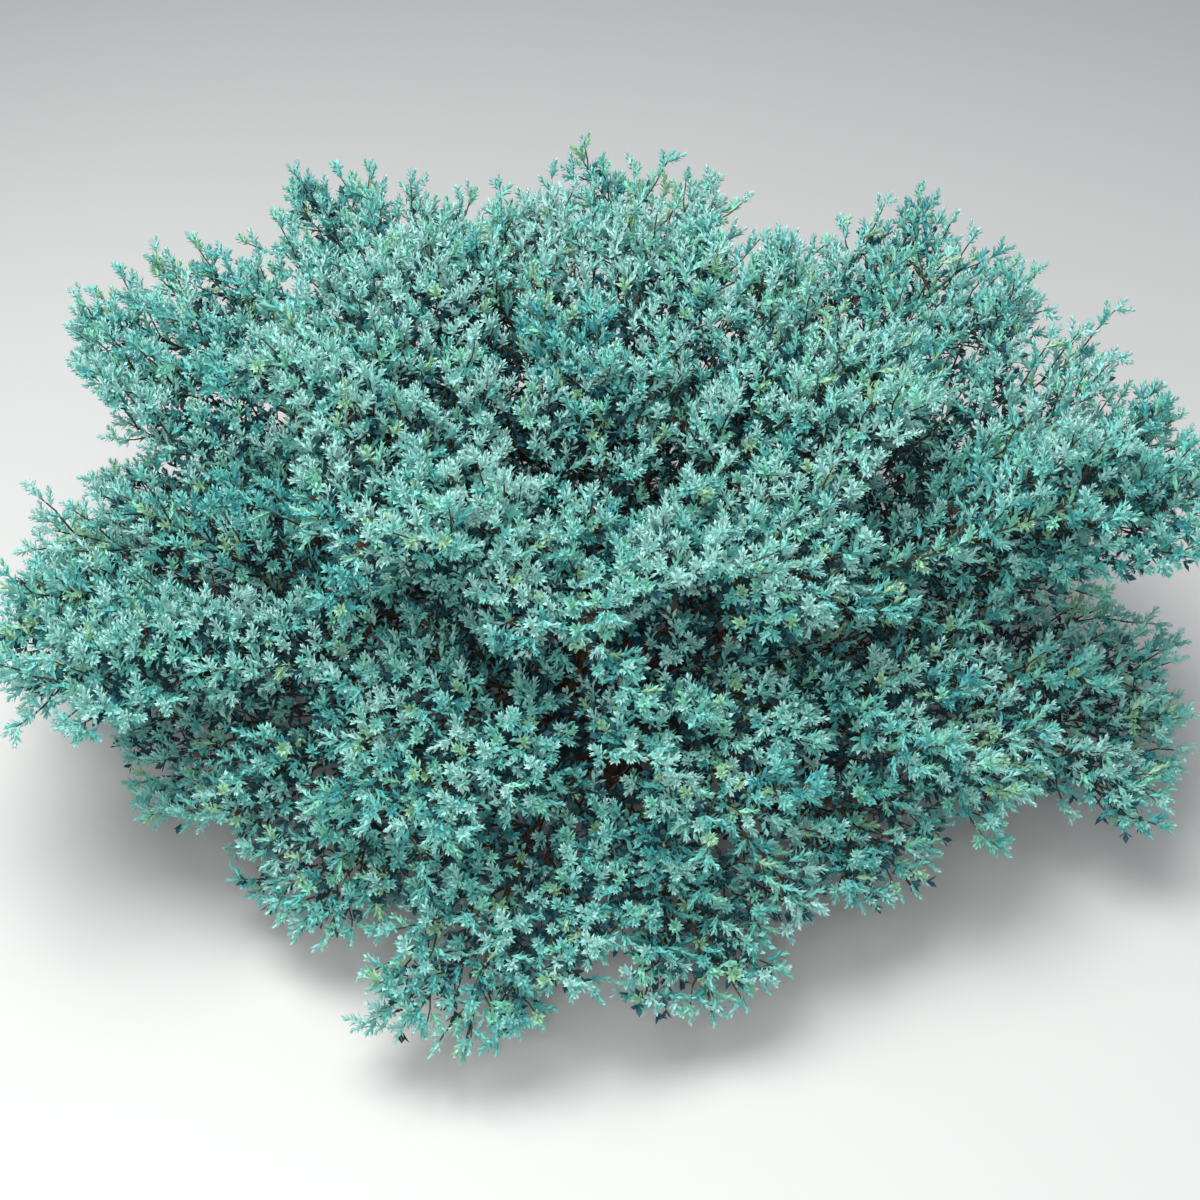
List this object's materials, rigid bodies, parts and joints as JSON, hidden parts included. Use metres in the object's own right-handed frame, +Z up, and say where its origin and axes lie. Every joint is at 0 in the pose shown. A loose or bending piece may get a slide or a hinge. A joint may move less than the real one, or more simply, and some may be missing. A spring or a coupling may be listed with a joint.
{
  "type": "blue star juniper",
  "caption": "Low, spreading evergreen shrub: a dense mound of blue-green needled plumes on short boughs that fork from one hidden stem, rooted in level ground.",
  "frame": {"origin": "centre of the flat cut under the stem, where the shrub meets the ground", "axes": "+Z up, square to the ground; +X to the right and +Y away from someone who stands in front of the shrub"},
  "size_m": [1.1323, 0.9648, 0.4821],
  "materials": {
    "bark": "rough, flaking red-brown bark",
    "foliage": "matt blue-green needles with a pale waxy bloom"
  },
  "bodies": {
    "root": {"stem": "bark", "bough_low_01": "bark", "bough_low_02": "bark", "bough_low_03": "bark", "bough_low_04": "bark", "bough_low_05": "bark", "bough_low_06": "bark", "bough_low_07": "bark", "bough_low_08": "bark", "bough_low_09": "bark", "bough_low_10": "bark", "bough_low_11": "bark", "bough_mid_01": "bark", "bough_mid_02": "bark", "bough_mid_03": "bark", "bough_mid_04": "bark", "bough_mid_05": "bark", "bough_mid_06": "bark", "bough_mid_07": "bark", "bough_mid_08": "bark", "bough_mid_09": "bark", "bough_top_01": "bark", "bough_top_02": "bark", "bough_top_03": "bark", "bough_top_04": "bark", "bough_top_05": "bark", "bough_top_06": "bark", "bough_top_07": "bark", "bough_apex_01": "bark", "foliage_low_01": "foliage", "foliage_low_02": "foliage", "foliage_low_03": "foliage", "foliage_low_04": "foliage", "foliage_low_05": "foliage", "foliage_low_06": "foliage", "foliage_low_07": "foliage", "foliage_low_08": "foliage", "foliage_low_09": "foliage", "foliage_low_10": "foliage", "foliage_low_11": "foliage", "foliage_mid_01": "foliage", "foliage_mid_02": "foliage", "foliage_mid_03": "foliage", "foliage_mid_04": "foliage", "foliage_mid_05": "foliage", "foliage_mid_06": "foliage", "foliage_mid_07": "foliage", "foliage_mid_08": "foliage", "foliage_mid_09": "foliage", "foliage_top_01": "foliage", "foliage_top_02": "foliage", "foliage_top_03": "foliage", "foliage_top_04": "foliage", "foliage_top_05": "foliage", "foliage_top_06": "foliage", "foliage_top_07": "foliage", "foliage_apex_01": "foliage"}
  },
  "joints": []
}
